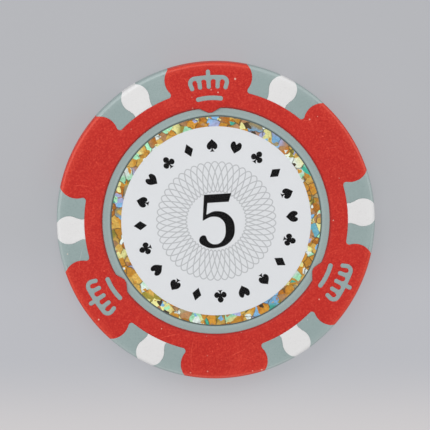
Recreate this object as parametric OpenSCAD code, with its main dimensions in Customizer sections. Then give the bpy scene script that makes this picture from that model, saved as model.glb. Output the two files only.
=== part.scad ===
// Casino-size poker chip: a weighted three-shot moulded disc with a label on each face.
// The chip lies flat on its back face. +Z is the chip's axis and points out of the front face.
// +Y points at one of the crowned lugs. The origin is the middle of the back face.

/* [Chip] */
// Diameter over the rim
chip_d = 40; // [36:0.5:48]
// Thickness over the two faces
chip_t = 3.3; // [2.9:0.1:4.5]
// Radius of the round along each rim edge
rim_round = 0.5; // [0.2:0.05:0.8]

/* [Overmould] */
// Radial depth of the windows between the lugs
window_depth = 3.43; // [2.9:0.01:4.2]
// Width of a window where its two sides come closest
window_w = 7.83; // [6.5:0.01:9.5]
// Radius of the bulging side of a lug
lug_side_r = 2.3; // [1.9:0.05:2.8]
// Distance from the rim in to the middle of that bulge
lug_inset = 2.04; // [1.7:0.01:2.4]
// Radius of the fillet in a window's inner corners
corner_r = 0.4; // [0.2:0.05:0.6]
// Width of the closed ring inside the windows
ring_w = 2.27; // [1.9:0.01:2.8]
// Thickness of the skins on the two faces
skin_t = 0.6; // [0.4:0.05:0.9]
// Thickness of the wall that joins the skins at the rim of a lug
lug_wall = 0.8; // [0.6:0.05:0.85]
// Width of the pointed gate mark at the foot of a crowned lug
gate_w = 2.8; // [2:0.1:3.6]
// Height of the gate mark over the ring's inner edge
gate_h = 0.62; // [0.4:0.02:0.8]

/* [Crown] */
// Width of the crown's strokes
stroke_w = 0.54; // [0.4:0.01:0.62]
// Distance from the rim in to the middle of the crown's band
band_inset = 1.87; // [1.8:0.01:2.3]
// Length of the prongs below the middle of the band
prong_l = 1.18; // [0.9:0.02:1.4]
// Distance between neighbouring prongs at the band
prong_pitch = 1.2; // [1:0.02:1.3]
// Length of the finial above the middle of the band
finial_l = 0.7; // [0.4:0.02:0.75]
// Distance from the crown's middle line out to the middle of an outer prong
horn_x = 2.3; // [2.2:0.02:2.4]
// Radius of the shoulder of an outer prong, to the middle of the stroke
horn_r = 0.6; // [0.5:0.02:0.7]
// Length of the straight end of an outer prong
horn_l = 0.5; // [0.3:0.02:0.6]
// Length of the bar under the crown, between the centres of its round ends
bar_l = 2.8; // [2.2:0.1:3.4]
// Thickness of that bar
bar_t = 0.58; // [0.4:0.02:0.7]
// Radius that the bar is bent to
bar_bend_r = 7; // [5:0.5:14]
// Distance from the ring's inner edge out to the middle of the bar
bar_inset = 1.25; // [0.9:0.01:1.4]

/* [Edge spots] */
// Diameter of the round head of an edge spot
spot_d = 3.55; // [3:0.05:4.2]
// Distance from the rim in to the middle of that head
spot_inset = 1.5; // [1.2:0.02:1.7]
// Width of the neck of an edge spot
neck_w = 2.54; // [2:0.02:2.8]
// Length of the neck that shows in the window, before it flares
neck_l = 0.34; // [0.2:0.02:0.6]
// Length of the tail that the ring holds down
tail_l = 0.6; // [0.4:0.05:1]

/* [Label] */
// Depth of the recess inside the ring, in each face
recess_depth = 0.3; // [0.25:0.01:0.4]
// Distance from the recess's wall in to the label's edge
label_inset = 1.15; // [0.9:0.01:1.5]
// Depth of the pocket in the recess's floor that the label sits in
pocket_depth = 0.15; // [0.1:0.01:0.2]
// Gap between the label's edge and its pocket's wall
pocket_gap = 0.15; // [0.1:0.01:0.2]
// Width of the film's border that shows around the print
border_w = 1.21; // [0.8:0.01:1.6]
// Thickness of the adhesive
adhesive_t = 0.05; // [0.03:0.01:0.08]
// Thickness of the holographic film
film_t = 0.05; // [0.03:0.01:0.08]
// Thickness of the printed disc
print_t = 0.05; // [0.03:0.01:0.08]
// Thickness of the clear overlay above the print
overlay_t = 0.08; // [0.05:0.01:0.1]

/* [Slug] */
// Thickness of the core between the slug and a label's pocket
slug_cover = 0.35; // [0.3:0.05:0.5]
// Distance from the recess's wall in to the slug's edge
slug_margin = 0.8; // [0.7:0.05:1.5]
// Diameter of the keying holes through the slug
key_d = 3; // [2:0.1:4]
// Distance from the slug's edge in to the middle of the keying holes
key_inset = 4.5; // [3:0.1:6]
// Diameter of the holes left by the pins that held the slug in the mould
pin_d = 1.2; // [0.8:0.1:1.6]
// Distance from the slug's edge in to the middle of the pin holes
pin_inset = 2; // [1.5:0.1:3]

/* [Hidden] */
$fn = 128;
lug_count = 6;
key_count = 6;
pin_count = 3;
lug_pitch = 360 / lug_count;
crown_pitch = 2 * lug_pitch;
// How far a cutting shape runs past what it cuts
past = 1;
// How far two round shapes run into each other where they meet smoothly
lap = 0.005;

chip_r = chip_d / 2;
ring_out_r = chip_r - window_depth;
recess_r = ring_out_r - ring_w;
ring_mid_r = (ring_out_r + recess_r) / 2;
web_r = chip_r - lug_wall;
film_r = recess_r - label_inset;
pocket_r = film_r + pocket_gap;
print_r = film_r - border_w;

lug_mid_r = chip_r - lug_inset;
lug_side_y = (lug_mid_r * sin(lug_pitch / 2) - window_w / 2 - lug_side_r) / cos(lug_pitch / 2);
lug_side = [lug_mid_r, lug_side_y];

band_r = chip_r - band_inset;
bar_r = recess_r + bar_inset;
// Angle at which an outer prong's shoulder leaves the band, and how far its straight end leans in
horn_root_a = 84;
horn_lean = 20;
horn_mid_x = horn_x - horn_r;
horn_root_x = horn_mid_x + horn_r * cos(horn_root_a);
horn_mid_y = on_band(horn_root_x) - horn_r * sin(horn_root_a);
// How far a straight prong leans in towards the middle at its tip
prong_lean = 0.1;
// How far the opening for a crown's rib runs into the core's web
rib_root = 0.1;
// Width of the gate mark's blunt tip, as a share of its width
gate_tip = 0.17;

spot_mid_r = chip_r - spot_inset;
flare_r = ring_out_r + neck_l;
// The flare runs into the head at this angle from straight inwards, and ends this far inside it
flare_a = 68;
flare_lap = 0.05;

// Height of the seat of the back label. The front one's lies as deep below the front face.
seat_z = recess_depth + pocket_depth;
slug_r = recess_r - slug_margin;
slug_z = seat_z + slug_cover;
slug_t = chip_t - 2 * slug_z;
key_r = slug_r - key_inset;
pin_r = slug_r - pin_inset;
// The pin holes end inside the slug's pocket, and stand between the keying holes
pin_depth = slug_z + slug_t / 4;
pin_turn = 180 / key_count;

SPOTS = [for (i = [1 : lug_count]) str("white_spot_", i)];
LABELS = ["adhesive", "holo_film", "print", "overlay"];

// Height of the middle of the crown's band, at a distance x from the crown's middle line
function on_band(x) = sqrt(band_r * band_r - x * x);

// Plan shapes. A lug or a spot points along +X here, and a crown along +Y.

module ring(r_out, r_in) {
    difference() {
        circle(r_out);
        circle(r_in);
    }
}

// A straight stroke with round ends
module stroke(a, b, w) {
    v = b - a;
    translate(a) rotate(atan2(v.y, v.x)) translate([0, -w / 2]) square([norm(v), w]);
    for (p = [a, b]) translate(p) circle(w / 2 + lap);
}

// A curved stroke about c with round ends, from angle a0 up to a1
module arc_stroke(c, r, a0, a1, w) {
    mid = (a0 + a1) / 2;
    reach = (r + w) / cos((a1 - a0) / 4);
    translate(c) {
        intersection() {
            ring(r + w / 2, r - w / 2);
            polygon([[0, 0], for (a = [a0, mid, a1]) reach * [cos(a), sin(a)]]);
        }
        for (a = [a0, a1]) translate(r * [cos(a), sin(a)]) circle(w / 2 + lap);
    }
}

// One lug: a block with two bulging sides and a fillet at each foot, where it joins the ring.
// The fillet's circle touches the bulge and the ring from outside.
module lug_plan() {
    a = norm(lug_side);
    b = ring_out_r + corner_r;
    c = lug_side_r + corner_r;
    turn = atan2(lug_side_y, lug_mid_r) + acos((a * a + b * b - c * c) / (2 * a * b));
    left = [cos(turn), sin(turn)];
    right = [cos(turn), -sin(turn)];
    difference() {
        polygon([
            [ring_mid_r, 0],
            ring_mid_r * right,
            b * right,
            [lug_mid_r, -lug_side_y],
            [lug_mid_r, lug_side_y],
            b * left,
            ring_mid_r * left
        ]);
        for (dir = [left, right]) translate(b * dir) circle(corner_r + lap);
    }
    translate([ring_mid_r, -lug_side_y]) square([chip_r + past - ring_mid_r, 2 * lug_side_y]);
    for (side = [-1, 1]) translate([lug_mid_r, side * lug_side_y]) circle(lug_side_r);
}

// The pointed mark where the melt entered, with a blunt tip
module gate_plan() {
    tip_w = gate_w * gate_tip;
    polygon([
        [recess_r - gate_h, -tip_w / 2],
        [recess_r, -gate_w / 2],
        [ring_mid_r, -gate_w / 2],
        [ring_mid_r, gate_w / 2],
        [recess_r, gate_w / 2],
        [recess_r - gate_h, tip_w / 2]
    ]);
}

module overmould_plan() {
    ring(ring_out_r, recess_r);
    for (i = [0 : lug_count - 1]) rotate(90 + i * lug_pitch) {
        lug_plan();
        if (i % 2 == 0) gate_plan();
    }
}

// Fills the corners under the band between two prongs, at x0 and x1, to a round arch
module arch(x0, x1) {
    arch_r = (x1 - x0 - stroke_w) / 2 + lap;
    x = (x0 + x1) / 2;
    y = on_band(x) - stroke_w / 2 - arch_r + 2 * lap;
    difference() {
        polygon([[x0, y], [x1, y], [x1, on_band(x1)], [x0, on_band(x0)]]);
        translate([x, y]) circle(arch_r);
    }
}

// A plain coronet: a band, three straight prongs, two with a round shoulder, a finial and a bar below
module crown_plan() {
    band_a = asin(horn_root_x / band_r);
    bar_a = asin(bar_l / 2 / bar_bend_r);
    horn_end = [horn_mid_x, horn_mid_y] + horn_r * [cos(horn_lean), -sin(horn_lean)];
    arc_stroke([0, 0], band_r, 90 - band_a, 90 + band_a, stroke_w);
    stroke([0, band_r - prong_l], [0, band_r + finial_l], stroke_w);
    for (side = [-1, 1]) {
        tip_x = side * (prong_pitch - prong_lean);
        root_x = side * prong_pitch;
        stroke([tip_x, on_band(tip_x) - prong_l], [root_x, on_band(root_x)], stroke_w);
    }
    for (side = [0, 1]) mirror([side, 0]) {
        arc_stroke([horn_mid_x, horn_mid_y], horn_r, -horn_lean, horn_root_a, stroke_w);
        stroke(horn_end, horn_end - horn_l * [sin(horn_lean), cos(horn_lean)], stroke_w);
    }
    feet = [-horn_x, -prong_pitch, 0, prong_pitch, horn_x];
    for (i = [1 : len(feet) - 1]) arch(feet[i - 1], feet[i]);
    arc_stroke([0, bar_r - bar_bend_r], bar_bend_r, 90 - bar_a, 90 + bar_a, bar_t);
}

// A round head on a flared neck, with a tail under the ring
module spot_plan() {
    head_r = spot_d / 2;
    shoulder = (head_r - flare_lap) * [-cos(flare_a), sin(flare_a)];
    translate([spot_mid_r, 0]) circle(head_r);
    polygon([
        [ring_out_r - tail_l, -neck_w / 2],
        [flare_r, -neck_w / 2],
        [spot_mid_r + shoulder.x, -shoulder.y],
        [spot_mid_r + shoulder.x, shoulder.y],
        [flare_r, neck_w / 2],
        [ring_out_r - tail_l, neck_w / 2]
    ]);
}

// Solid shapes that neighbours share

// The whole chip's outside
module blank() {
    rotate_extrude() {
        polygon([
            [0, 0],
            [chip_r - rim_round, 0],
            [chip_r, rim_round],
            [chip_r, chip_t - rim_round],
            [chip_r - rim_round, chip_t],
            [0, chip_t]
        ]);
        for (z = [rim_round, chip_t - rim_round]) translate([chip_r - rim_round, z]) circle(rim_round);
    }
}

// The space that the last shot fills, running past the rim and both faces
module overmould_space() {
    difference() {
        translate([0, 0, -past]) linear_extrude(chip_t + 2 * past) overmould_plan();
        translate([0, 0, skin_t]) cylinder(r = web_r, h = chip_t - 2 * skin_t);
        for (i = [0 : lug_count / 2 - 1]) rotate(i * crown_pitch) {
            for (z = [-2 * past, chip_t - skin_t - rib_root]) translate([0, 0, z])
                linear_extrude(skin_t + rib_root + 2 * past) crown_plan();
        }
    }
}

module spot_space(i) {
    difference() {
        rotate(90 + (i - 0.5) * lug_pitch) translate([0, 0, -past])
            linear_extrude(chip_t + 2 * past) spot_plan();
        overmould_space();
    }
}

// A flat layer of a label. lift is its height over the label's seat.
module layer(r, t, lift, front) {
    translate([0, 0, front ? chip_t - seat_z + lift : seat_z - lift - t]) cylinder(r = r, h = t);
}

// A round pocket of this depth in both faces, which runs past them
module sunk(r, depth) {
    for (z = [-past, chip_t - depth]) translate([0, 0, z]) cylinder(r = r, h = depth + past);
}

// Sub-parts

// The weight: a disc whose holes let the core key through it
module steel_slug() {
    color("#8d9297") translate([0, 0, slug_z]) difference() {
        cylinder(r = slug_r, h = slug_t);
        for (i = [0 : key_count - 1]) rotate(i * 360 / key_count)
            translate([key_r, 0, -past]) cylinder(d = key_d, h = slug_t + 2 * past);
    }
}

// The first shot: it holds the slug and reaches the rim in the windows
module grey_core() {
    color("#96aaa7") difference() {
        blank();
        overmould_space();
        for (i = [1 : lug_count]) spot_space(i);
        steel_slug();
        sunk(recess_r, recess_depth);
        sunk(pocket_r, seat_z);
        for (i = [0 : pin_count - 1]) rotate(pin_turn + i * 360 / pin_count) translate([pin_r, 0, 0])
            sunk(pin_d / 2, pin_depth);
    }
}

// The last shot: a ring on each face, joined through the lugs at the rim
module red_overmould() {
    color("#c8322d") intersection() {
        blank();
        overmould_space();
    }
}

// The second shot: one of the spots in the windows
module white_spot(i) {
    color("#e2e2e3") intersection() {
        blank();
        spot_space(i);
    }
}

module label_adhesive(front) {
    color("#e6dcb8") layer(film_r, adhesive_t, 0, front);
}

module label_holo_film(front) {
    color("#b98a35") layer(film_r, film_t, adhesive_t, front);
}

module label_print(front) {
    color("#dedfe3") layer(print_r, print_t, adhesive_t + film_t, front);
}

// Clear film over the print and the border around it
module label_overlay(front) {
    color("#ffffff", 0.2) difference() {
        layer(film_r, print_t + overlay_t, adhesive_t + film_t, front);
        layer(print_r, print_t, adhesive_t + film_t, front);
    }
}

steel_slug();
grey_core();
red_overmould();
for (i = [1 : lug_count]) {
    white_spot(i);
}
for (face = ["front_", "back_"]) {
    label_adhesive(face == "front_");
    label_holo_film(face == "front_");
    label_print(face == "front_");
    label_overlay(face == "front_");
}
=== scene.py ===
"""Looks of the poker chip: softened mould edges, composite finishes, foil labels and a plain stage."""

import math

import bmesh
import bpy
from bpy.props import FloatProperty, FloatVectorProperty, IntProperty, PointerProperty
from bpy.types import NodeSocket, Operator, Panel, PropertyGroup
from mathutils import Matrix, Vector


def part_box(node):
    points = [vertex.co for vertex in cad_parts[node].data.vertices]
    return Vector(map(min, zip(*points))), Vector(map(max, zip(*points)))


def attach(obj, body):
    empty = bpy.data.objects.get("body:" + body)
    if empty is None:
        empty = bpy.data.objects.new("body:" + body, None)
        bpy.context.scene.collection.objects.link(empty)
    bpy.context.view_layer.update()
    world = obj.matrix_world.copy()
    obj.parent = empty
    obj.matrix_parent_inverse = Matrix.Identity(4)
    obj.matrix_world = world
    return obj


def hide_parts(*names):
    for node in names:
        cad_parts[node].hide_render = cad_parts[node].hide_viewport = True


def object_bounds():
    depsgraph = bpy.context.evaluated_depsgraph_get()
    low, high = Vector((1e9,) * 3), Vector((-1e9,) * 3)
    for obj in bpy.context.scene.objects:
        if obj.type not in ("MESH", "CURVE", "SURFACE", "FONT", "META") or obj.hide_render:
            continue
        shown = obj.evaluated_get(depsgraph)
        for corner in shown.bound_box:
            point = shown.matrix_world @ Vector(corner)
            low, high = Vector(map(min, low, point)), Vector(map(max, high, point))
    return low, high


bl_info = {
    "name": "Poker Chip",
    "version": (1, 0, 0),
    "blender": (4, 5, 0),
    "location": "3D View > Sidebar > Chip",
    "description": "Finishes a moulded poker chip and its two labels, and sets it on a plain stage",
    "category": "Object",
}

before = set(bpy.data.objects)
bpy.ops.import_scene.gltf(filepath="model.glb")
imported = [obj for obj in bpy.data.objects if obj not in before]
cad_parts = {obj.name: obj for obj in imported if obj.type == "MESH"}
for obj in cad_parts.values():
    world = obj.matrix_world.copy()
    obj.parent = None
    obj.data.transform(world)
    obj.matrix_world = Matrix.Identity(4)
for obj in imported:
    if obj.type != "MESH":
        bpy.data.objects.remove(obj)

MM = 0.001
# Heights closer than LEVEL count as the same plane, and points closer than MERGE as one point
LEVEL = 0.001 * MM
MERGE = 0.02 * MM
FULL_TURN = math.tau

# Sizes that the frame holds
CAD_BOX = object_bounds()
CHIP_R = CAD_BOX[1].x
CHIP_T = CAD_BOX[1].z
FILM_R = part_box("front_holo_film")[1].x
FILM_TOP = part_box("front_holo_film")[1].z
PRINT_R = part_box("front_print")[1].x
PRINT_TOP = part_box("front_print")[1].z
OVERLAY_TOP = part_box("front_overlay")[1].z
SPOTS = sorted(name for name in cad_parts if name.startswith("white_spot"))
FACES = ("front", "back")
# Height of the back and of the front face, and the way each looks along Z
SIDES = ((0.0, -1), (CHIP_T, 1))


def srgb(red, green, blue):
    """A screen colour of 0 to 255 as the linear colour that shaders take."""
    def linear(level):
        part = level / 255
        return part / 12.92 if part <= 0.04045 else ((part + 0.055) / 1.055) ** 2.4
    return tuple(linear(level) for level in (red, green, blue))


def length(name, description, millimetres):
    """A length setting, given in millimetres."""
    return FloatProperty(
        name=name, description=description, default=millimetres * MM,
        min=0.0, precision=6, unit="LENGTH",
    )


def angle(name, description, degrees):
    """An angle setting, given in degrees."""
    return FloatProperty(
        name=name, description=description, default=math.radians(degrees), subtype="ANGLE",
    )


def share(name, description, default):
    """A setting from 0 to 1."""
    return FloatProperty(
        name=name, description=description, default=default, min=0.0, max=1.0, subtype="FACTOR",
    )


def colour(name, description, screen):
    """A colour setting, given as a screen colour of 0 to 255."""
    return FloatVectorProperty(
        name=name, description=description, default=srgb(*screen),
        size=3, min=0.0, max=1.0, subtype="COLOR",
    )


class ChipMould(PropertyGroup):
    """Sizes of the moulded edges"""

    seam_w: length("Seam Width", "Width of the softened strip along a seam between two shots", 0.09)
    seam_drop: length("Seam Depth", "How far a seam lies below the face", 0.04)
    edge_w: length("Edge Width", "Width of the softened strip along the overmould's edges", 0.12)
    wall_w: length("Wall Width", "Width of the rounded slope from the ring down to the recess", 0.28)
    wall_drop: length("Wall Depth", "How far that slope falls", 0.26)
    pocket_w: length("Pocket Lip Width", "Width of the softened strip along the label pocket", 0.17)
    pocket_drop: length("Pocket Lip Depth", "How far the label pocket's edge is rolled over", 0.09)
    rim_round: length("Rim Round", "Radius of the round along each rim edge", 0.5)
    rim_fade: length("Seam Fade", "Distance over which a seam runs out towards the rim", 0.4)
    recess_depth: length("Recess Depth", "Depth of the recess inside the ring", 0.3)
    label_inset: length("Label Inset", "Distance from the recess's wall in to the label's edge", 1.15)
    gate_w: length("Gate Width", "Width of a gate mark at the ring", 2.8)
    gate_edge: length("Gate Edge", "How far the edge of a gate mark is rolled over", 0.09)
    gate_h: length("Gate Height", "How far a gate mark reaches in over the recess", 0.62)
    gate_fall: length("Gate Fall", "How far a gate mark slopes down to its tip", 0.14)


class ChipFinish(PropertyGroup):
    """Colours of the composites, the slug and the adhesive"""

    red: colour("Red", "Colour of the overmould", (190, 35, 26))
    # The paler colours of wear also paint the rim's highlight and the light on the recess's floor
    red_worn: colour("Worn Red", "Colour of specks and scuffs in the red", (250, 98, 74))
    grey: colour("Grey", "Colour of the core", (147, 164, 163))
    grey_worn: colour("Worn Grey", "Colour of specks and scuffs in the grey", (190, 202, 201))
    white: colour("White", "Colour of the edge spots", (224, 223, 223))
    white_worn: colour("Worn White", "Colour of scuffs in the white", (236, 236, 236))
    # The soiled colours also paint the shade in the label's gap and on the recess's wall
    red_dark: colour("Soiled Red", "Colour of grime in the red", (150, 22, 20))
    grey_dark: colour("Soiled Grey", "Colour of grime in the grey", (52, 56, 52))
    white_dark: colour("Soiled White", "Colour of grime in the white", (150, 148, 144))
    grit: colour("Grit", "Colour of the coarse grains in all three composites", (240, 212, 192))
    steel: colour("Steel", "Colour of the slug", (165, 168, 172))
    adhesive: colour("Adhesive", "Colour of the labels' adhesive", (228, 219, 186))
    # Wear also sets how strongly the rim's painted highlight shows
    wear: share("Wear", "How strongly specks, scratches and rubbed edges show", 0.6)


class ChipLabel(PropertyGroup):
    """Sizes and colours of the labels"""

    numeral_h: length("Numeral Height", "Height of the numeral", 6.8)
    pip_h: length("Pip Height", "Height of the suit pips", 1.55)
    pip_r: length("Pip Circle", "Radius of the circle that the pips stand on", 9.55)
    pip_count: IntProperty(
        name="Pips", description="Number of pips around a label", default=20, min=4, max=40,
    )
    ink_t: length("Ink Thickness", "Thickness of the printed ink", 0.008)
    air: length("Air Gap", "Gap between a label's layers that touch", 0.006)
    edge_round: length("Film Edge Round", "Radius of the clear film's top edge", 0.05)
    rosette_r: length("Rosette Radius", "Middle radius of the line rosette", 5.6)
    rosette_swing: length("Rosette Swing", "How far its lines swing in and out", 1.9)
    rosette_line: length("Rosette Line", "Width of its lines", 0.13)
    ink: colour("Ink", "Colour of the printed figures", (13, 12, 14))
    ground: colour("Ground", "Colour of the printed disc", (223, 225, 228))
    line_ink: colour("Line Ink", "Colour of the rosette's lines", (186, 188, 191))


class ChipStage(PropertyGroup):
    """Camera, lights and floor"""

    view_up: angle("View From Above", "How far the camera stands above the face's middle line", 6.2)
    view_left: angle("View From Left", "How far the camera stands to the left of it", 2.8)
    roll: angle("Roll", "How far the chip is turned anticlockwise in the picture", 3.2)
    distance: length("Distance", "Distance from the camera to the chip", 450)
    view_w: length("View Width", "Width of the picture at the chip", 54.15)
    aim_up: length("Aim Up", "How far above the chip's middle the camera looks", 0.62)
    aim_left: length("Aim Left", "How far to the left of it the camera looks", 0.09)
    # The floor's three colours paint light that grows towards the foot of the picture
    floor_far: colour("Far Floor", "Colour of the floor in the upper half of the picture", (182, 183, 187))
    floor_mid: colour("Middle Floor", "Colour of the floor in the lower half", (188, 189, 194))
    floor_near: colour("Near Floor", "Colour of the floor along the foot of the picture", (208, 205, 206))
    glow: share("Floor Glow", "Share of the floor that is plain colour and takes no shadow", 0.7)
    ambient: share("Ambient", "Share of the light that comes from all round", 0.46)


def rgba(tint):
    """A colour as a colour input takes it. A socket stays as it is."""
    return tint if isinstance(tint, NodeSocket) else (*tint, 1.0)


class Look:
    """A material in the making. It adds nodes and links them by their sockets."""

    def __init__(self, name):
        self.material = bpy.data.materials.new(name)
        self.material.use_nodes = True
        self.tree = self.material.node_tree
        self.tree.nodes.clear()
        place = self.add("ShaderNodeTexCoord").outputs["Object"]
        # The object's own place in millimetres, so that every pattern below has its real size
        self.place = self.scaled(place, 1 / MM)

    def add(self, kind, inputs=None, **settings):
        """Adds a node. An input is linked if it is given a socket, and set if it is given a value."""
        node = self.tree.nodes.new(kind)
        for key, value in settings.items():
            setattr(node, key, value)
        for key, value in (inputs or {}).items():
            if isinstance(value, NodeSocket):
                self.tree.links.new(value, node.inputs[key])
            else:
                node.inputs[key].default_value = value
        return node

    def math(self, operation, *values):
        return self.add("ShaderNodeMath", dict(enumerate(values)), operation=operation).outputs[0]

    def plus(self, first, second):
        return self.math("ADD", first, second)

    def minus(self, first, second):
        return self.math("SUBTRACT", first, second)

    def times(self, first, second):
        return self.math("MULTIPLY", first, second)

    def vector(self, operation, *values):
        node = self.add("ShaderNodeVectorMath", dict(enumerate(values)), operation=operation)
        return node.outputs["Value" if operation == "DOT_PRODUCT" else "Vector"]

    def scaled(self, vector, factor):
        inputs = {"Vector": vector, "Scale": factor}
        return self.add("ShaderNodeVectorMath", inputs, operation="SCALE").outputs["Vector"]

    def split(self, vector):
        return self.add("ShaderNodeSeparateXYZ", {"Vector": vector}).outputs

    def radius(self):
        """Distance from the chip's axis in millimetres."""
        x, y, _ = self.split(self.place)
        return self.math("SQRT", self.plus(self.times(x, x), self.times(y, y)))

    def noise(self, per_mm, detail=2.0, place=None, output="Fac"):
        inputs = {"Vector": place or self.place, "Scale": per_mm, "Detail": detail}
        return self.add("ShaderNodeTexNoise", inputs).outputs[output]

    def cells(self, per_mm, place=None, feature="F1"):
        inputs = {"Vector": place or self.place, "Scale": per_mm}
        return self.add("ShaderNodeTexVoronoi", inputs, feature=feature).outputs

    def step(self, value, low, high):
        """0 below low, 1 above high and smooth between them. Falls instead if low is above high."""
        inputs = {"Value": value, "From Min": low, "From Max": high}
        node = self.add("ShaderNodeMapRange", inputs, interpolation_type="SMOOTHSTEP")
        return node.outputs["Result"]

    def band(self, value, rise, fall):
        """Rises from 0 to 1 over one pair of values, and falls back to 0 over the other."""
        return self.times(self.step(value, *rise), self.step(value, *reversed(fall)))

    def span(self, value, low, high):
        """A value of 0 to 1 spread from low to high."""
        inputs = {"Value": value, "To Min": low, "To Max": high}
        return self.add("ShaderNodeMapRange", inputs).outputs["Result"]

    def mix(self, factor, first, second):
        """The first colour for a factor of 0, and the second for 1."""
        # The node has sockets for several kinds of data. These are the factor's and the colours'.
        inputs = {0: factor, 6: rgba(first), 7: rgba(second)}
        return self.add("ShaderNodeMix", inputs, data_type="RGBA").outputs[2]

    def brightened(self, tint, factor):
        """A colour with its brightness multiplied."""
        inputs = {"Color": rgba(tint), "Value": factor}
        return self.add("ShaderNodeHueSaturation", inputs).outputs["Color"]

    def ramp(self, value, stops):
        """Flat bands of colour. stops are (start, colour), in order."""
        node = self.add("ShaderNodeValToRGB", {"Fac": value})
        band = node.color_ramp
        band.interpolation = "CONSTANT"
        while len(band.elements) < len(stops):
            band.elements.new(1.0)
        for element, (start, tint) in zip(band.elements, stops):
            element.position = start
            element.color = rgba(tint)
        return node.outputs["Color"]

    def bump(self, height, depth_mm):
        inputs = {"Height": height, "Distance": depth_mm * MM, "Strength": 1.0}
        return self.add("ShaderNodeBump", inputs).outputs["Normal"]

    def shade(self, base, specular=0.5, **settings):
        """Ends the material in one principled shader."""
        inputs = {name.title(): value for name, value in settings.items()}
        inputs["Specular IOR Level"] = specular
        inputs["Base Color"] = base
        shader = self.add("ShaderNodeBsdfPrincipled", inputs)
        return self.show(shader.outputs["BSDF"])

    def blend(self, factor, first, second):
        """Ends the material in two shaders: the first for a factor of 0, and the second for 1."""
        inputs = {0: factor, 1: first.outputs[0], 2: second.outputs[0]}
        return self.show(self.add("ShaderNodeMixShader", inputs).outputs[0])

    def show(self, surface):
        self.add("ShaderNodeOutputMaterial", {"Surface": surface})
        return self.material


def scratches(look, per_mm, long_mm, wide_mm, kept):
    """Short straight marks at all angles, one in each kept cell. kept is the share of cells."""
    cell = look.cells(per_mm)
    draw = look.split(cell["Color"])
    local = look.vector("SUBTRACT", look.place, cell["Position"])
    turned = look.add("ShaderNodeVectorRotate", {
        "Vector": local, "Angle": look.times(draw["X"], FULL_TURN),
    }, rotation_type="Z_AXIS").outputs["Vector"]
    along, across, _ = look.split(turned)
    # A slight bend, and an end that fades
    bend = 0.06
    bent = look.math("MULTIPLY_ADD", look.times(along, along), bend, across)
    line = look.step(look.math("ABSOLUTE", bent), low=wide_mm, high=wide_mm * 0.3)
    run = look.times(draw["Y"], long_mm)
    ends = look.step(look.minus(run, look.math("ABSOLUTE", along)), low=0.0, high=long_mm * 0.4)
    chosen = look.math("LESS_THAN", draw["Z"], kept)
    return look.times(look.times(line, ends), chosen)


def specks(look, per_mm, size_mm, kept):
    """Small round flecks, one in each kept cell. kept is the share of cells."""
    cell = look.cells(per_mm)
    draw = look.split(cell["Color"])
    reach = look.times(look.span(draw["Y"], low=0.4, high=1.0), size_mm * per_mm)
    dot = look.step(look.math("DIVIDE", cell["Distance"], reach), low=1.0, high=0.4)
    return look.times(dot, look.math("LESS_THAN", draw["X"], kept))


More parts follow.
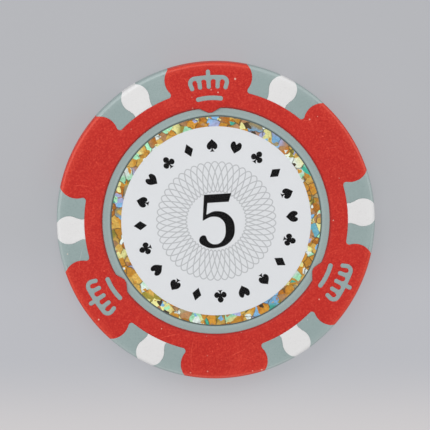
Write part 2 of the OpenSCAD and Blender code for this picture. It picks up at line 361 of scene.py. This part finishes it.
def composite(finish, shot, mottle, rim_wear_and_highlight, speck_share, scratch_share, roughness, recess=0.0, wall=0.0):
    """A filled, moulded composite: mottled, flecked with filler, finely scratched, its rubbed rim partly
    painted highlight.

    recess is how strongly painted light makes the recess's floor paler than the face, and wall how strongly
    painted shade darkens its wall.
    """
    # The colour of wear also serves as painted light below, and the soiled colour as painted shade
    worn_and_lit = getattr(finish, f"{shot}_worn")
    grime_and_shade = getattr(finish, f"{shot}_dark")
    wear = finish.wear
    look = Look(f"{shot}_composite")
    radius = look.radius()
    rim = CHIP_R / MM
    film = FILM_R / MM
    half_t = CHIP_T / MM / 2
    broad = look.noise(per_mm=0.3, detail=3.0)
    patch = look.noise(per_mm=0.16, detail=4.0)
    cloud = look.noise(per_mm=5.0, detail=4.0)
    grain = look.noise(per_mm=6.0, detail=3.0)
    tooth = look.noise(per_mm=14.0, detail=1.0)
    flecks = specks(look, per_mm=1.3, size_mm=0.11, kept=speck_share)
    grains = specks(look, per_mm=0.9, size_mm=0.18, kept=speck_share)
    marks = scratches(look, per_mm=0.3, long_mm=2.0, wide_mm=0.05, kept=scratch_share)
    scuff = look.times(look.step(patch, low=0.56, high=0.75), look.step(grain, low=0.4, high=0.6))
    handled = look.step(radius, low=rim - 1.3, high=rim - 0.2)
    # The rubbed band along the rim's round is partly wear and partly a painted highlight
    rubbed = look.band(radius, rise=(rim - 0.45, rim - 0.27), fall=(rim - 0.14, rim - 0.02))
    # Painted light: the recess's floor is painted paler than the face, most of all on the pocket's lip and
    # along the wall
    floor = look.band(radius, rise=(film + 0.2, film + 0.3), fall=(film + 1.14, film + 1.16))
    # On the pocket's lip the painted light is a painted highlight
    lip = look.step(radius, low=film + 0.6, high=film + 0.4)
    # Along the wall the painted light lifts the shade that the wall casts
    painted_light_along_wall = look.step(radius, low=film + 0.6, high=film + 1.1)
    painted_recess_light = look.times(floor, look.math("MULTIPLY_ADD", look.plus(lip, painted_light_along_wall), 0.6, 0.4))
    # Where the colour of wear shows, and how strongly. On the rubbed rim it is also a painted highlight,
    # and on the recess's floor painted light.
    light = (
        (look.step(cloud, low=0.42, high=0.78), 4 * mottle),
        (flecks, 1.2 * wear),
        (marks, 0.7 * wear),
        (scuff, 0.25 * wear),
        (handled, 0.2 * wear),
        (rubbed, rim_wear_and_highlight * wear),
        (painted_recess_light, recess),
    )
    tint = look.brightened(getattr(finish, shot), look.span(broad, low=1 - mottle, high=1 + mottle))
    for mask, strength in light:
        tint = look.mix(look.times(mask, strength), tint, worn_and_lit)
    tint = look.mix(look.times(grains, wear), tint, finish.grit)
    tint = look.mix(look.times(look.step(cloud, low=0.44, high=0.3), 4 * mottle), tint, grime_and_shade)
    # Painted shade: the soiled colour darkens the gap round the label and the recess's wall, where shade
    # falls
    off_middle = look.math("ABSOLUTE", look.minus(look.split(look.place)["Z"], half_t))
    gap = look.step(radius, low=film + 0.18, high=film + 0.14)
    slope = look.band(radius, rise=(film + 1.12, film + 1.16), fall=(film + 1.45, film + 1.5))
    slope = look.times(slope, look.step(off_middle, low=half_t - 0.01, high=half_t - 0.09))
    tint = look.mix(look.plus(look.times(gap, 0.6), look.times(slope, wall)), tint, grime_and_shade)
    # The relief: grain and tooth, scratches cut into it, and a faint ridge where the mould parts at the rim
    parting = look.step(off_middle, low=0.06, high=0.02)
    ridge = look.times(parting, look.step(radius, low=rim - 0.1, high=rim - 0.02))
    height = look.plus(look.times(grain, 0.5), tooth)
    height = look.minus(height, look.times(marks, 1.2))
    height = look.math("MULTIPLY_ADD", ridge, 2.0, height)
    # Scuffs are duller, and the rubbed rim shines a little more
    shine = look.span(grain, low=roughness - 0.1, high=roughness + 0.1)
    shine = look.plus(shine, look.times(scuff, 0.1))
    shine = look.minus(shine, look.times(rubbed, 0.2))
    return look.shade(tint, specular=0.3, roughness=shine, normal=look.bump(height, depth_mm=0.006))


def holo_foil():
    """Metallised film with broken facets. Each facet throws one colour of the spectrum."""
    look = Look("holo_foil")
    amber, orange, gold = srgb(214, 152, 50), srgb(196, 122, 32), srgb(230, 186, 90)
    tan, dun, olive = srgb(190, 142, 96), srgb(178, 162, 120), srgb(164, 150, 56)
    cream, mint, white = srgb(250, 247, 168), srgb(182, 250, 204), srgb(238, 250, 244)
    sky, lilac, teal = srgb(138, 196, 240), srgb(176, 184, 224), srgb(70, 186, 160)
    dark = srgb(78, 62, 40)
    # The order is that of a colour wheel, so that a facet can shade into the next colour
    bands = [
        (0.0, amber), (0.19, orange), (0.3, tan), (0.37, dun), (0.41, lilac), (0.46, sky),
        (0.53, teal), (0.57, white), (0.63, mint), (0.71, cream), (0.83, olive), (0.87, gold),
    ]
    half = (0.5, 0.5, 0.5)
    facets_per_mm = 0.8
    drift_mm = 0.6
    hue_shift = 0.1
    broken_from, dark_from = 0.8, 0.985
    crack_depth = 0.75
    facet_tilt = 0.3
    drift = look.vector("SUBTRACT", look.noise(per_mm=1.1, output="Color"), half)
    warped = look.vector("ADD", look.place, look.scaled(drift, drift_mm))
    facet = look.cells(facets_per_mm, warped)
    chip = look.cells(per_mm=1.7, place=warped)
    facet_draw = look.split(facet["Color"])
    chip_draw = look.split(chip["Color"])
    hue = facet_draw["X"]
    next_hue = look.math("FRACT", look.plus(hue, hue_shift))
    local = look.vector("SUBTRACT", warped, facet["Position"])
    slope = look.vector("DOT_PRODUCT", local, look.vector("SUBTRACT", facet["Color"], half))
    turned = look.step(slope, low=-0.12, high=0.12)
    tint = look.mix(turned, look.ramp(hue, bands), look.ramp(next_hue, bands))
    tint = look.brightened(tint, look.span(facet_draw["Y"], low=0.82, high=1.2))
    # Some facets are broken: chips of them throw another colour, or none
    broken = look.math("GREATER_THAN", chip_draw["Y"], broken_from)
    tint = look.mix(broken, tint, look.ramp(chip_draw["X"], bands))
    tint = look.mix(look.math("GREATER_THAN", chip_draw["Z"], dark_from), tint, dark)
    glint = look.noise(per_mm=4.2, detail=3.0, place=warped)
    tint = look.brightened(tint, look.span(glint, low=0.46, high=1.36))
    edge = look.cells(facets_per_mm, warped, feature="DISTANCE_TO_EDGE")["Distance"]
    uneven = look.step(look.noise(per_mm=0.9), low=0.4, high=0.55)
    crack = look.times(look.step(edge, low=0.065, high=0.02), uneven)
    tint = look.mix(look.times(crack, crack_depth), tint, dark)
    tilt = look.vector("SUBTRACT", chip["Color"], half)
    face = look.add("ShaderNodeNewGeometry").outputs["Normal"]
    normal = look.vector("NORMALIZE", look.vector("ADD", face, look.scaled(tilt, facet_tilt)))
    return look.shade(tint, metallic=0.2, roughness=0.3, normal=normal)


def printed_vinyl(label):
    """White vinyl with a fine tooth, printed with a rosette of thin waving lines."""
    look = Look("printed_vinyl")
    waves = 10
    curves = 5
    middle = label.rosette_r / MM
    swing = label.rosette_swing / MM
    line_w = label.rosette_line / MM
    x, y, _ = look.split(look.place)
    radius = look.radius()
    turn = look.times(look.math("ARCTAN2", y, x), waves)
    nearest = None
    for curve in range(curves):
        phase = look.plus(turn, FULL_TURN * curve / curves)
        wave = look.math("MULTIPLY_ADD", look.math("SINE", phase), swing, middle)
        steep = look.math("DIVIDE", look.times(look.math("COSINE", phase), swing * waves), radius)
        slant = look.math("SQRT", look.math("MULTIPLY_ADD", steep, steep, 1.0))
        gap = look.math("DIVIDE", look.math("ABSOLUTE", look.minus(radius, wave)), slant)
        nearest = gap if nearest is None else look.math("MINIMUM", nearest, gap)
    line = look.step(nearest, low=line_w * 0.65, high=line_w * 0.35)
    # Near the axis the turn is too fine to draw
    line = look.times(line, look.math("GREATER_THAN", radius, middle - swing - line_w))
    stain = look.noise(per_mm=0.25, detail=3.0)
    ground = look.brightened(label.ground, look.span(stain, low=0.985, high=1.015))
    tint = look.mix(line, ground, label.line_ink)
    tooth = look.noise(per_mm=9.0)
    shine = look.span(tooth, low=0.34, high=0.46)
    return look.shade(tint, roughness=shine, normal=look.bump(tooth, depth_mm=0.002))


def printed_ink(label):
    """Dense black ink, a little uneven."""
    look = Look("printed_ink")
    grain = look.noise(per_mm=6.0, detail=3.0)
    tint = look.brightened(label.ink, look.span(grain, low=0.6, high=1.5))
    return look.shade(tint, specular=0.1, roughness=look.span(grain, low=0.35, high=0.5))


def clear_film():
    """Thin clear film: light passes straight through, and a little of it is mirrored."""
    look = Look("clear_film")
    clear = (1.0, 1.0, 1.0, 1.0)
    gloss_ahead, gloss_at_edge, gloss_power = 0.008, 0.9, 5.0
    facing = look.add("ShaderNodeLayerWeight", {"Blend": 0.5}).outputs["Facing"]
    slanted = look.math("POWER", facing, gloss_power)
    mirrored = look.math("MULTIPLY_ADD", slanted, gloss_at_edge, gloss_ahead)
    inside = look.add("ShaderNodeNewGeometry").outputs["Backfacing"]
    gloss = look.times(mirrored, look.minus(1.0, inside))
    haze = look.span(look.noise(per_mm=0.8, detail=3.0), low=0.12, high=0.2)
    through = look.add("ShaderNodeBsdfTransparent", {"Color": clear})
    shine = look.add("ShaderNodeBsdfGlossy", {"Color": clear, "Roughness": haze})
    return look.blend(gloss, through, shine)


def rolled_steel(tint):
    """Steel with fine rolling marks along X."""
    look = Look("rolled_steel")
    stretched = look.vector("MULTIPLY", look.place, (0.15, 12.0, 1.0))
    streaks = look.noise(per_mm=1.0, detail=4.0, place=stretched)
    return look.shade(
        look.brightened(tint, look.span(streaks, low=0.85, high=1.1)), metallic=1.0,
        roughness=look.span(streaks, low=0.28, high=0.42), normal=look.bump(streaks, depth_mm=0.002),
    )


def label_glue(tint):
    """Clear-drying adhesive with a few bubbles."""
    look = Look("label_glue")
    bubbles = specks(look, per_mm=2.0, size_mm=0.15, kept=0.2)
    return look.shade(
        look.brightened(tint, look.span(bubbles, low=1.0, high=1.15)),
        roughness=look.span(bubbles, low=0.25, high=0.4),
    )


def plain_floor(stage):
    """Matte floor with painted light: it lightens below the chip."""
    look = Look("plain_floor")
    # Height in the picture, in millimetres from the chip's middle
    up = look.vector("DOT_PRODUCT", look.place, (math.sin(stage.roll), math.cos(stage.roll), 0.0))
    # Painted light: the floor is painted lighter towards the foot of the picture
    tint = look.mix(look.step(up, low=0.0, high=-11.0), stage.floor_far, stage.floor_mid)
    tint = look.mix(look.step(up, low=-17.0, high=-29.0), tint, stage.floor_near)
    tint = look.brightened(tint, look.span(look.noise(per_mm=0.05), low=0.985, high=1.015))
    matte = look.add("ShaderNodeBsdfDiffuse", {"Color": tint})
    # What is seen of the floor is partly plain colour, which keeps the shadow light
    glow = look.add("ShaderNodeEmission", {"Color": tint})
    ray = look.add("ShaderNodeLightPath").outputs
    seen = look.math("MAXIMUM", ray["Is Camera Ray"], ray["Is Glossy Ray"])
    seen = look.math("MAXIMUM", seen, ray["Is Transmission Ray"])
    return look.blend(look.times(seen, stage.glow), matte, glow)


def new_piece(name, bm, material):
    """Makes an object of a finished bmesh, which rides on the one body of the chip."""
    mesh = bpy.data.meshes.new(name)
    bm.to_mesh(mesh)
    bm.free()
    mesh.materials.append(material)
    piece = bpy.data.objects.new(name, mesh)
    bpy.context.scene.collection.objects.link(piece)
    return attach(piece, "root")


def dress(node, material):
    """Gives a node of the frame one material."""
    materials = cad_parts[node].data.materials
    materials.clear()
    materials.append(material)


def smooth_shade(piece, sharp_degrees=38.0):
    """Smooth shading that breaks at sharp edges and leaves large flat faces flat."""
    piece.data.shade_smooth()
    piece.data.set_sharp_from_angle(angle=math.radians(sharp_degrees))
    even = piece.modifiers.new("even_normals", "WEIGHTED_NORMAL")
    even.mode = "FACE_AREA"
    even.keep_sharp = True


def merged_copy(node):
    """A bmesh of a node's solid with its loose triangles joined."""
    bm = bmesh.new()
    bm.from_mesh(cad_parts[node].data)
    bmesh.ops.remove_doubles(bm, verts=bm.verts, dist=MERGE)
    bm.normal_update()
    return bm


# A face is flat if its normal's share along Z is above this
FLAT = 0.99
# A softened edge is two strips wide. This is the share of its fall at the outer line of each.
STRIP_FALLS = (1.0, 0.18)
# Points this far past a softened edge, or this many times further down than it falls, still count as on it
EDGE_SLACK = 0.01 * MM
FALL_SLACK = 1.5
# How strongly the slope of the recess's wall bulges
WALL_BULGE = 0.48
# The gate marks lie these ways from the axis, beyond this share of the recess's radius
GATES = 3
GATE_WAYS = [
    Matrix.Rotation(FULL_TURN * gate / GATES, 3, "Z") @ Vector((0.0, 1.0, 0.0))
    for gate in range(GATES)
]
GATE_FROM = 0.9
# The wall's slope fades out over this distance beside a gate mark
GATE_FADE = 0.5 * MM
# A face that reaches in further than this belongs to a gate mark
TAB_REACH = 0.1 * MM


def clamped(value):
    """A value held between 0 and 1."""
    return min(1.0, max(0.0, value))


def from_axis(point):
    """Distance of a point from the chip's axis."""
    return math.hypot(point.x, point.y)


def recess_radius(mould):
    """Radius of the recess's wall."""
    return FILM_R + mould.label_inset


def flat_faces(bm, height, facing):
    """The faces at this height that look up, for a facing of 1, or down, for -1."""
    found = [
        face for face in bm.faces
        if face.normal.z * facing > FLAT
        and all(abs(vert.co.z - height) < LEVEL for vert in face.verts)
    ]
    if not found:
        raise RuntimeError(f"no flat face at {height / MM:.2f} mm")
    return found


def soften(bm, height, facing, width, drop):
    """Rolls over the outline of a flat face, in two strips. drop(point) is how far it falls there."""
    faces = flat_faces(bm, height, facing)
    for part in STRIP_FALLS:
        strip = bmesh.ops.inset_region(
            bm, faces=faces, thickness=width / len(STRIP_FALLS),
            use_boundary=True, use_even_offset=False,
        )["faces"]
        inside = {vert for face in faces for vert in face.verts}
        edge = {vert for face in strip for vert in face.verts} - inside
        for vert in edge:
            vert.co.z -= facing * part * drop(vert.co)


def seam_drop(mould):
    """How far a seam lies below the face, which runs out towards the rim."""
    start = CHIP_R - mould.rim_round

    def drop(point):
        return mould.seam_drop * clamped((start - from_axis(point)) / mould.rim_fade)
    return drop


def on_top(vert, mould, height):
    """Whether a point lies on the face at this height, or on its rolled edge."""
    return abs(vert.co.z - height) < FALL_SLACK * mould.gate_edge


def beside_gates(point, mould):
    """0 on a gate mark, rising to 1 beside it."""
    off = min(abs(way.cross(point).z) for way in GATE_WAYS if way.dot(point) > 0.0)
    return clamped((off - mould.gate_w / 2) / GATE_FADE)


def slope_wall(bm, mould, height, facing):
    """Draws the softened edge along the recess out to a rounded slope, which ends at the gate marks."""
    wall_r = recess_radius(mould)
    for vert in bm.verts:
        out = from_axis(vert.co) - wall_r
        if on_top(vert, mould, height) and -LEVEL < out < mould.edge_w + EDGE_SLACK:
            part = max(0.0, out / mould.edge_w)
            fall = (1.0 - part) * (1.0 - WALL_BULGE * part) * mould.wall_drop
            moved = beside_gates(vert.co, mould)
            grown = (wall_r + part * mould.wall_w) / from_axis(vert.co)
            vert.co.xy *= 1.0 + moved * (grown - 1.0)
            vert.co.z += moved * (height - facing * fall - vert.co.z)


def gate_reach(point, way, wall_r):
    """How far a point lies in over the recess at the gate mark that lies this way. 0 away from it."""
    ahead = way.dot(point)
    return wall_r - ahead if ahead > GATE_FROM * wall_r else 0.0


def fold_gates(bm, mould, height, facing):
    """Slopes the three gate marks of one face down from the ring to their tips."""
    wall_r = recess_radius(mould)
    for way in GATE_WAYS:
        tab = [
            face for face in bm.faces
            if any(gate_reach(vert.co, way, wall_r) > TAB_REACH for vert in face.verts)
            and all(on_top(vert, mould, height) for vert in face.verts)
        ]
        geometry = {part for face in tab for part in (face, *face.edges, *face.verts)}
        bmesh.ops.bisect_plane(
            bm, geom=list(geometry), dist=LEVEL, plane_co=way * wall_r, plane_no=way,
        )
        for vert in bm.verts:
            reach = gate_reach(vert.co, way, wall_r)
            if reach > 0.0 and from_axis(vert.co) < wall_r and on_top(vert, mould, height):
                vert.co.z -= facing * mould.gate_fall * reach / mould.gate_h


class CHIP_OT_red_overmould(Operator):
    """Softens the edges of the red overmould and gives it its finish"""

    bl_idname = "chip.red_overmould"
    bl_label = "Red Overmould"

    def execute(self, context):
        mould = context.scene.chip_mould
        seam = seam_drop(mould)
        inner_edge = recess_radius(mould) + mould.edge_w

        def drop(point):
            return mould.gate_edge if from_axis(point) < inner_edge else seam(point)

        bm = merged_copy("red_overmould")
        for height, facing in SIDES:
            soften(bm, height, facing, mould.edge_w, drop)
            slope_wall(bm, mould, height, facing)
            fold_gates(bm, mould, height, facing)
        # The rim gets a painted highlight, and the recess's wall painted shade
        material = composite(
            context.scene.chip_finish, "red", mottle=0.075, rim_wear_and_highlight=0.5,
            speck_share=0.28, scratch_share=0.35, roughness=0.52, wall=0.5,
        )
        piece = new_piece("red_shot", bm, material)
        smooth_shade(piece)
        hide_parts("red_overmould")
        return {"FINISHED"}


class CHIP_OT_grey_core(Operator):
    """Softens the edges of the grey core and gives it its finish"""

    bl_idname = "chip.grey_core"
    bl_label = "Grey Core"

    def execute(self, context):
        mould = context.scene.chip_mould
        # Of the recess's floor only the inner outline is rolled over, which is the pocket's lip
        lip_edge = FILM_R + mould.label_inset / 4

        def pocket(point):
            return mould.pocket_drop if from_axis(point) < lip_edge else 0.0

        bm = merged_copy("grey_core")
        for height, facing in SIDES:
            soften(bm, height, facing, mould.seam_w, seam_drop(mould))
            soften(bm, height - facing * mould.recess_depth, facing, mould.pocket_w, pocket)
        # The rim gets a painted highlight, the recess's floor painted light and the label's gap painted
        # shade
        material = composite(
            context.scene.chip_finish, "grey", mottle=0.02, rim_wear_and_highlight=0.6,
            speck_share=0.03, scratch_share=0.15, roughness=0.42, recess=0.19,
        )
        piece = new_piece("grey_shot", bm, material)
        smooth_shade(piece)
        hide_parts("grey_core")
        return {"FINISHED"}


class CHIP_OT_white_spots(Operator):
    """Softens the edges of the six edge spots and gives them their finish"""

    bl_idname = "chip.white_spots"
    bl_label = "White Spots"

    def execute(self, context):
        mould = context.scene.chip_mould
        # The rim gets a painted highlight
        material = composite(
            context.scene.chip_finish, "white", mottle=0.02, rim_wear_and_highlight=0.6,
            speck_share=0.04, scratch_share=0.12, roughness=0.45,
        )
        for index, node in enumerate(SPOTS, start=1):
            bm = merged_copy(node)
            for height, facing in SIDES:
                soften(bm, height, facing, mould.seam_w, seam_drop(mould))
            piece = new_piece(f"white_shot_{index}", bm, material)
            smooth_shade(piece)
            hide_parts(node)
        return {"FINISHED"}


class CHIP_OT_steel_slug(Operator):
    """Gives the sealed slug its finish"""

    bl_idname = "chip.steel_slug"
    bl_label = "Steel Slug"

    def execute(self, context):
        dress("steel_slug", rolled_steel(context.scene.chip_finish.steel))
        return {"FINISHED"}


class CHIP_OT_label_layers(Operator):
    """Gives the adhesive, the foil and the printed disc of both labels their finishes"""

    bl_idname = "chip.label_layers"
    bl_label = "Label Layers"

    def execute(self, context):
        layers = {
            "adhesive": label_glue(context.scene.chip_finish.adhesive),
            "holo_film": holo_foil(),
            "print": printed_vinyl(context.scene.chip_label),
        }
        for face in FACES:
            for layer, material in layers.items():
                dress(f"{face}_{layer}", material)
        return {"FINISHED"}


# Outlines of the printed figures for a height of 1. A knot is (x, y), and a third value marks a corner.
CORNER = True
HEART = [
    (0.0, -0.5, CORNER), (0.45, 0.12), (0.25, 0.47), (0.0, 0.24, CORNER), (-0.25, 0.47), (-0.45, 0.12),
]
DIAMOND = [(0.0, -0.54, CORNER), (0.37, 0.0, CORNER), (0.0, 0.54, CORNER), (-0.37, 0.0, CORNER)]
STEM = [
    (-0.05, -0.2, CORNER), (-0.08, -0.38), (-0.2, -0.5, CORNER),
    (0.2, -0.5, CORNER), (0.08, -0.38), (0.05, -0.2, CORNER),
]
SPADE = [
    (0.0, 0.52, CORNER), (-0.43, -0.06), (-0.23, -0.33), *STEM, (0.23, -0.33), (0.43, -0.06),
]
CLUB = [
    (0.14, 0.06, CORNER), (0.24, 0.26), (0.0, 0.51), (-0.24, 0.26), (-0.14, 0.06, CORNER),
    (-0.33, 0.12), (-0.5, -0.12), (-0.27, -0.36), *STEM, (0.27, -0.36), (0.5, -0.12), (0.33, 0.12),
]
SUITS = (SPADE, HEART, CLUB, DIAMOND)
NUMERAL = [
    (-0.2, 0.5, CORNER), (-0.25, 0.02, CORNER), (-0.06, 0.085), (0.11, 0.02), (0.165, -0.165),
    (0.09, -0.375), (-0.05, -0.43), (-0.165, -0.37), (-0.24, -0.25), (-0.335, -0.34), (-0.22, -0.465),
    (-0.03, -0.5), (0.24, -0.395), (0.335, -0.15), (0.25, 0.085), (0.0, 0.185),
    (-0.175, 0.13, CORNER), (-0.145, 0.345, CORNER), (0.25, 0.345, CORNER), (0.305, 0.5, CORNER),
]


def ink_figure(knots, height, thickness):
    """A flat figure of ink as a closed bmesh, lying on the plane z = 0 about the origin."""
    curve = bpy.data.curves.new("figure", "CURVE")
    curve.dimensions = "2D"
    curve.fill_mode = "BOTH"
    curve.resolution_u = 8
    curve.extrude = thickness / 2
    spline = curve.splines.new("BEZIER")
    spline.bezier_points.add(len(knots) - 1)
    spline.use_cyclic_u = True
    for point, (x, y, *corner) in zip(spline.bezier_points, knots):
        point.co = (x * height, y * height, 0.0)
        point.handle_left_type = point.handle_right_type = "VECTOR" if corner else "AUTO"
    drawn = bpy.data.objects.new("figure", curve)
    bpy.context.scene.collection.objects.link(drawn)
    bpy.context.view_layer.update()
    mesh = bpy.data.meshes.new_from_object(drawn.evaluated_get(bpy.context.evaluated_depsgraph_get()))
    bm = bmesh.new()
    bm.from_mesh(mesh)
    bpy.data.objects.remove(drawn)
    bpy.data.curves.remove(curve)
    bpy.data.meshes.remove(mesh)
    bmesh.ops.remove_doubles(bm, verts=bm.verts, dist=thickness / 10)
    bmesh.ops.translate(bm, verts=bm.verts, vec=(0.0, 0.0, thickness / 2))
    bmesh.ops.recalc_face_normals(bm, faces=bm.faces)
    return bm


def add_to(whole, figure, place):
    """Adds a figure to a larger bmesh, at a place."""
    figure.transform(place)
    mesh = bpy.data.meshes.new("figure")
    figure.to_mesh(mesh)
    figure.free()
    whole.from_mesh(mesh)
    bpy.data.meshes.remove(mesh)


def turned_solid(profile, sides):
    """A closed bmesh: an outline of (radius, height), from the axis back to the axis, turned about Z."""
    bm = bmesh.new()
    rings = []
    for radius, height in profile:
        if radius == 0.0:
            ring = [bm.verts.new((0.0, 0.0, height))] * sides
        else:
            turns = [FULL_TURN * side / sides for side in range(sides)]
            ring = [bm.verts.new((radius * math.cos(a), radius * math.sin(a), height)) for a in turns]
        rings.append(ring)
    for lower, upper in zip(rings, rings[1:]):
        for side in range(sides):
            after = (side + 1) % sides
            corners = (lower[side], lower[after], upper[after], upper[side])
            # On the axis two corners are one
            bm.faces.new(list(dict.fromkeys(corners)))
    bmesh.ops.recalc_face_normals(bm, faces=bm.faces)
    return bm


def to_back():
    """The turn that carries the front face to the back one."""
    return Matrix.Translation((0.0, 0.0, CHIP_T)) @ Matrix.Rotation(math.pi, 4, "Y")


class CHIP_OT_label_ink(Operator):
    """Prints a numeral and a ring of suit pips on both labels"""

    bl_idname = "chip.label_ink"
    bl_label = "Label Ink"

    def execute(self, context):
        label = context.scene.chip_label
        material = printed_ink(label)
        lift = Matrix.Translation((0.0, 0.0, PRINT_TOP + label.air / 2))
        for face in FACES:
            ink = bmesh.new()
            add_to(ink, ink_figure(NUMERAL, label.numeral_h, label.ink_t), lift)
            for index in range(label.pip_count):
                pip = ink_figure(SUITS[index % len(SUITS)], label.pip_h, label.ink_t)
                turn = Matrix.Rotation(-FULL_TURN * index / label.pip_count, 4, "Z")
                add_to(ink, pip, lift @ turn @ Matrix.Translation((0.0, label.pip_r, 0.0)))
            if face == "back":
                ink.transform(to_back())
            new_piece(f"{face}_ink", ink, material)
        return {"FINISHED"}


class CHIP_OT_label_overlay(Operator):
    """Lays the clear film over the print and the foil border of both labels"""

    bl_idname = "chip.label_overlay"
    bl_label = "Label Overlay"

    sides: IntProperty(
        name="Sides", description="Number of sides that a film's round outline has", default=192, min=24,
    )

    def execute(self, context):
        label = context.scene.chip_label
        material = clear_film()
        over_print = PRINT_TOP + label.ink_t + 2 * label.air
        over_foil = FILM_TOP + label.air
        step_r = PRINT_R + 2 * label.air
        corner = label.edge_round
        # The round's middle lies this far in from the corner, both ways
        cut = 0.3 * corner
        profile = [
            (0.0, over_print), (step_r, over_print), (step_r, over_foil), (FILM_R, over_foil),
            (FILM_R, OVERLAY_TOP - corner), (FILM_R - cut, OVERLAY_TOP - cut),
            (FILM_R - corner, OVERLAY_TOP), (0.0, OVERLAY_TOP),
        ]
        for face in FACES:
            bm = turned_solid(profile, self.sides)
            if face == "back":
                bm.transform(to_back())
            piece = new_piece(f"{face}_clear_film", bm, material)
            smooth_shade(piece)
            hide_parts(f"{face}_overlay")
        return {"FINISHED"}


# Soft lamps: name, direction from +X and height above the face in degrees, and share of the light
LAMPS = (
    ("top_lamp", 105.0, 52.0, 0.26),
    ("left_lamp", 160.0, 26.0, 0.11),
    ("right_lamp", 20.0, 26.0, 0.09),
    ("low_lamp", 275.0, 26.0, 0.08),
)


class CHIP_OT_stage(Operator):
    """Sets up the floor, the soft lamps and the camera"""

    bl_idname = "chip.stage"
    bl_label = "Stage"

    lamp_distance: length("Lamp Distance", "Distance from a lamp to the chip", 400)
    lamp_size: length("Lamp Size", "Width of a lamp's soft box", 300)
    floor_size: length("Floor Size", "Width of the floor", 6000)
    floor_gap: length("Floor Gap", "Gap that keeps the chip's back out of the floor's plane", 0.02)

    def execute(self, context):
        stage = context.scene.chip_stage
        context.scene.view_settings.view_transform = "Standard"
        self.lay_floor(context, stage)
        self.fill_world(context, stage)
        for name, direction, height, light_share in LAMPS:
            self.hang_lamp(context, name, math.radians(direction), math.radians(height), light_share)
        self.set_camera(context, stage)
        return {"FINISHED"}

    def lay_floor(self, context, stage):
        bm = bmesh.new()
        bmesh.ops.create_grid(bm, x_segments=8, y_segments=8, size=self.floor_size / 2)
        mesh = bpy.data.meshes.new("floor")
        bm.to_mesh(mesh)
        bm.free()
        mesh.materials.append(plain_floor(stage))
        floor = bpy.data.objects.new("floor", mesh)
        floor.location.z = -self.floor_gap
        context.scene.collection.objects.link(floor)

    def fill_world(self, context, stage):
        world = bpy.data.worlds.new("studio")
        world.use_nodes = True
        sky = world.node_tree.nodes["Background"]
        sky.inputs["Color"].default_value = (1.0, 1.0, 1.0, 1.0)
        sky.inputs["Strength"].default_value = stage.ambient
        context.scene.world = world

    def hang_lamp(self, context, name, direction, height, light_share):
        """Hangs a lamp whose light adds light_share to a white surface that faces up."""
        lamp = bpy.data.lights.new(name, "AREA")
        lamp.shape = "DISK"
        lamp.size = self.lamp_size
        spread = self.lamp_distance ** 2 + (self.lamp_size / 2) ** 2
        lamp.energy = light_share * math.pi ** 2 * spread / math.sin(height)
        away = Vector((
            math.cos(direction) * math.cos(height),
            math.sin(direction) * math.cos(height),
            math.sin(height),
        ))
        hung = bpy.data.objects.new(name, lamp)
        hung.location = away * self.lamp_distance
        hung.rotation_euler = away.to_track_quat("Z", "Y").to_euler()
        hung.visible_camera = False
        context.scene.collection.objects.link(hung)

    def set_camera(self, context, stage):
        """Stands the camera where the picture was taken from, a little above and left of the face."""
        up = Vector((math.sin(stage.roll), math.cos(stage.roll), 0.0))
        right = Vector((up.y, -up.x, 0.0))
        back = up * math.sin(stage.view_up) - right * math.sin(stage.view_left)
        back.z = math.sqrt(1.0 - back.length_squared)
        aim = Vector((0.0, 0.0, CHIP_T / 2)) + up * stage.aim_up - right * stage.aim_left
        side = up.cross(back).normalized()
        top = back.cross(side)
        camera = bpy.data.cameras.new("camera")
        camera.lens = camera.sensor_width * stage.distance / stage.view_w
        camera.clip_start = 10 * MM
        camera.clip_end = 2 * self.floor_size
        stand = bpy.data.objects.new("camera", camera)
        turn = Matrix((side, top, back)).transposed().to_4x4()
        stand.matrix_world = Matrix.Translation(aim + back * stage.distance) @ turn
        context.scene.collection.objects.link(stand)
        context.scene.camera = stand


class CHIP_PT_sidebar(Panel):
    """Lists the chip's pieces and settings"""

    bl_label = "Poker Chip"
    bl_idname = "CHIP_PT_sidebar"
    bl_space_type = "VIEW_3D"
    bl_region_type = "UI"
    bl_category = "Chip"

    def draw(self, context):
        for operator in OPERATORS:
            self.layout.operator(operator.bl_idname)
        for name, group in SETTINGS.items():
            box = self.layout.box()
            for setting in group.__annotations__:
                box.prop(getattr(context.scene, name), setting)


SETTINGS = {
    "chip_mould": ChipMould,
    "chip_finish": ChipFinish,
    "chip_label": ChipLabel,
    "chip_stage": ChipStage,
}
OPERATORS = (
    CHIP_OT_red_overmould,
    CHIP_OT_grey_core,
    CHIP_OT_white_spots,
    CHIP_OT_steel_slug,
    CHIP_OT_label_layers,
    CHIP_OT_label_ink,
    CHIP_OT_label_overlay,
    CHIP_OT_stage,
)


def register():
    for cls in (*SETTINGS.values(), *OPERATORS, CHIP_PT_sidebar):
        bpy.utils.register_class(cls)
    for name, group in SETTINGS.items():
        setattr(bpy.types.Scene, name, PointerProperty(type=group))


def unregister():
    for name in SETTINGS:
        delattr(bpy.types.Scene, name)
    for cls in (CHIP_PT_sidebar, *reversed(OPERATORS), *reversed(SETTINGS.values())):
        bpy.utils.unregister_class(cls)


def main():
    register()
    bpy.ops.chip.red_overmould()
    bpy.ops.chip.grey_core()
    bpy.ops.chip.white_spots()
    bpy.ops.chip.steel_slug()
    bpy.ops.chip.label_layers()
    bpy.ops.chip.label_ink()
    bpy.ops.chip.label_overlay()
    bpy.ops.chip.stage()


if __name__ == "__main__":
    main()
